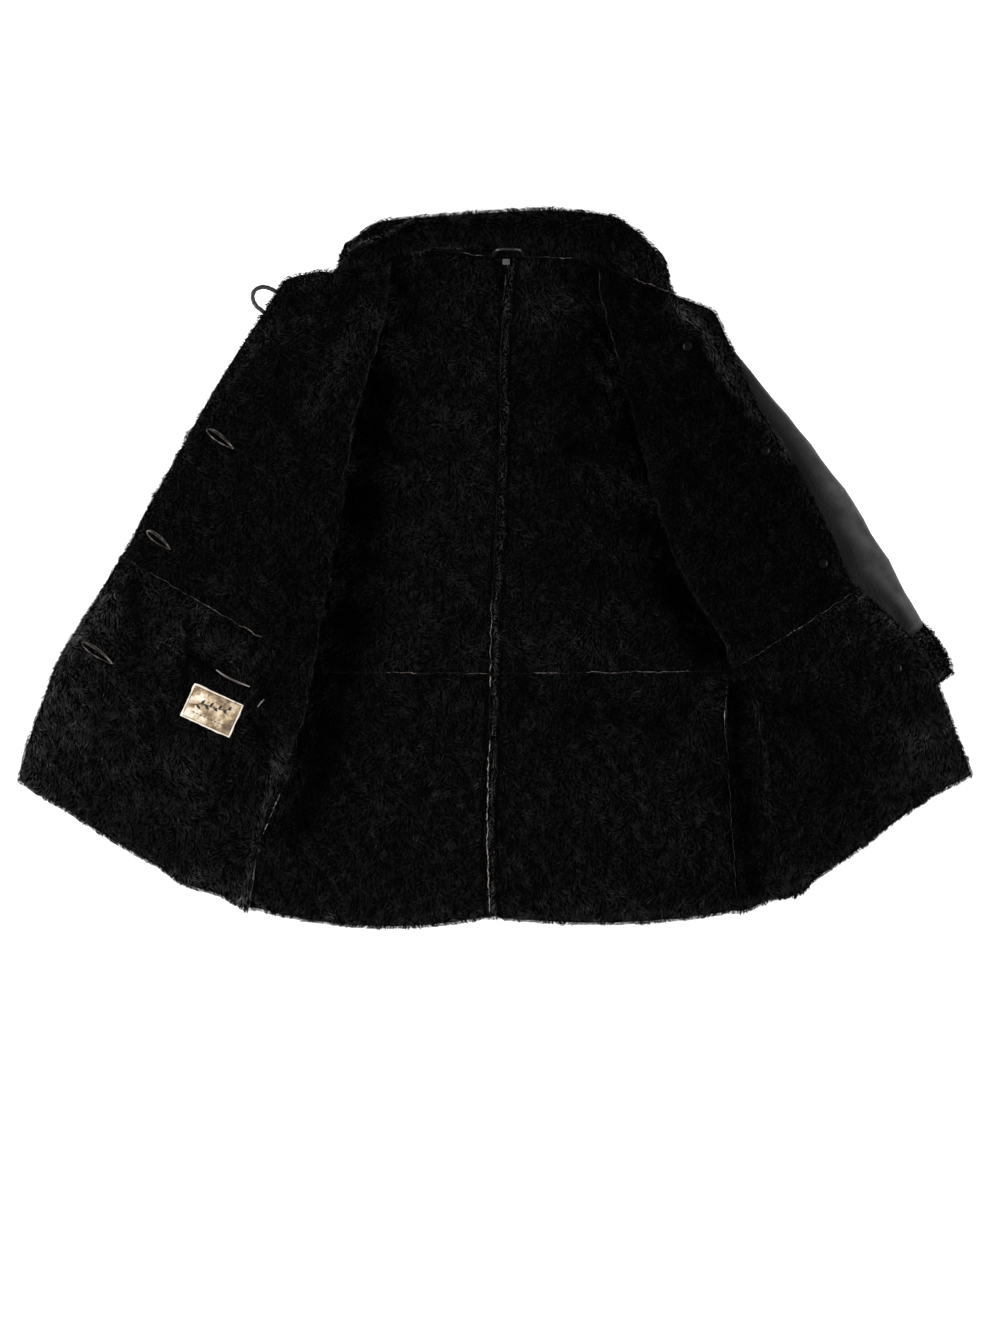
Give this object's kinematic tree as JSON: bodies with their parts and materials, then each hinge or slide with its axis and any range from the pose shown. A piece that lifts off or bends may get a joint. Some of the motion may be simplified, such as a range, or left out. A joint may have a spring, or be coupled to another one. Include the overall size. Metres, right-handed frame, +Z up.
{
  "type": "sheepskin coat",
  "caption": "Black sheared sheepskin coat with a smooth leather outside, laid open on its back with the pile side up and both fronts folded out over the sleeves",
  "frame": {"origin": "middle of the laid coat's outline on the surface it lies on", "axes": "+X to the wearer's left, +Y from the hem to the collar, +Z up from the surface"},
  "size_m": [1.078, 0.8133, 0.0641],
  "materials": {
    "pile_black": "sheared wool pile, deep black with a soft uneven nap",
    "leather_black": "smooth black leather with a fine grain and a soft highlight",
    "trim_leather": "glossy dark leather",
    "cord_brown": "brown-black leather cord and bound lips",
    "button_black": "polished black",
    "tag_black": "woven tape, bare",
    "label_satin": "champagne satin with a stitched border"
  },
  "bodies": {
    "root": {"back_upper_right": "pile_black", "back_upper_left": "pile_black", "back_lower_right": "pile_black", "back_lower_left": "pile_black", "front_upper_right": "pile_black", "front_upper_left": "pile_black", "front_lower_right": "pile_black", "front_lower_left": "pile_black", "cuff_right": "pile_black", "cuff_left": "pile_black", "collar": "pile_black", "sleeve_top_right": "leather_black", "sleeve_under_right": "leather_black", "sleeve_top_left": "leather_black", "sleeve_under_left": "leather_black", "hanger_loop": "trim_leather", "pocket_welt": "trim_leather", "buttonhole_1": "cord_brown", "buttonhole_2": "cord_brown", "buttonhole_3": "cord_brown", "button_loop": "cord_brown", "stay_button_1": "button_black", "stay_button_2": "button_black", "stay_button_3": "button_black", "stay_button_4": "button_black", "outer_button_1": "button_black", "outer_button_2": "button_black", "outer_button_3": "button_black", "outer_button_4": "button_black", "size_tag": "tag_black", "label": "label_satin"}
  },
  "joints": []
}
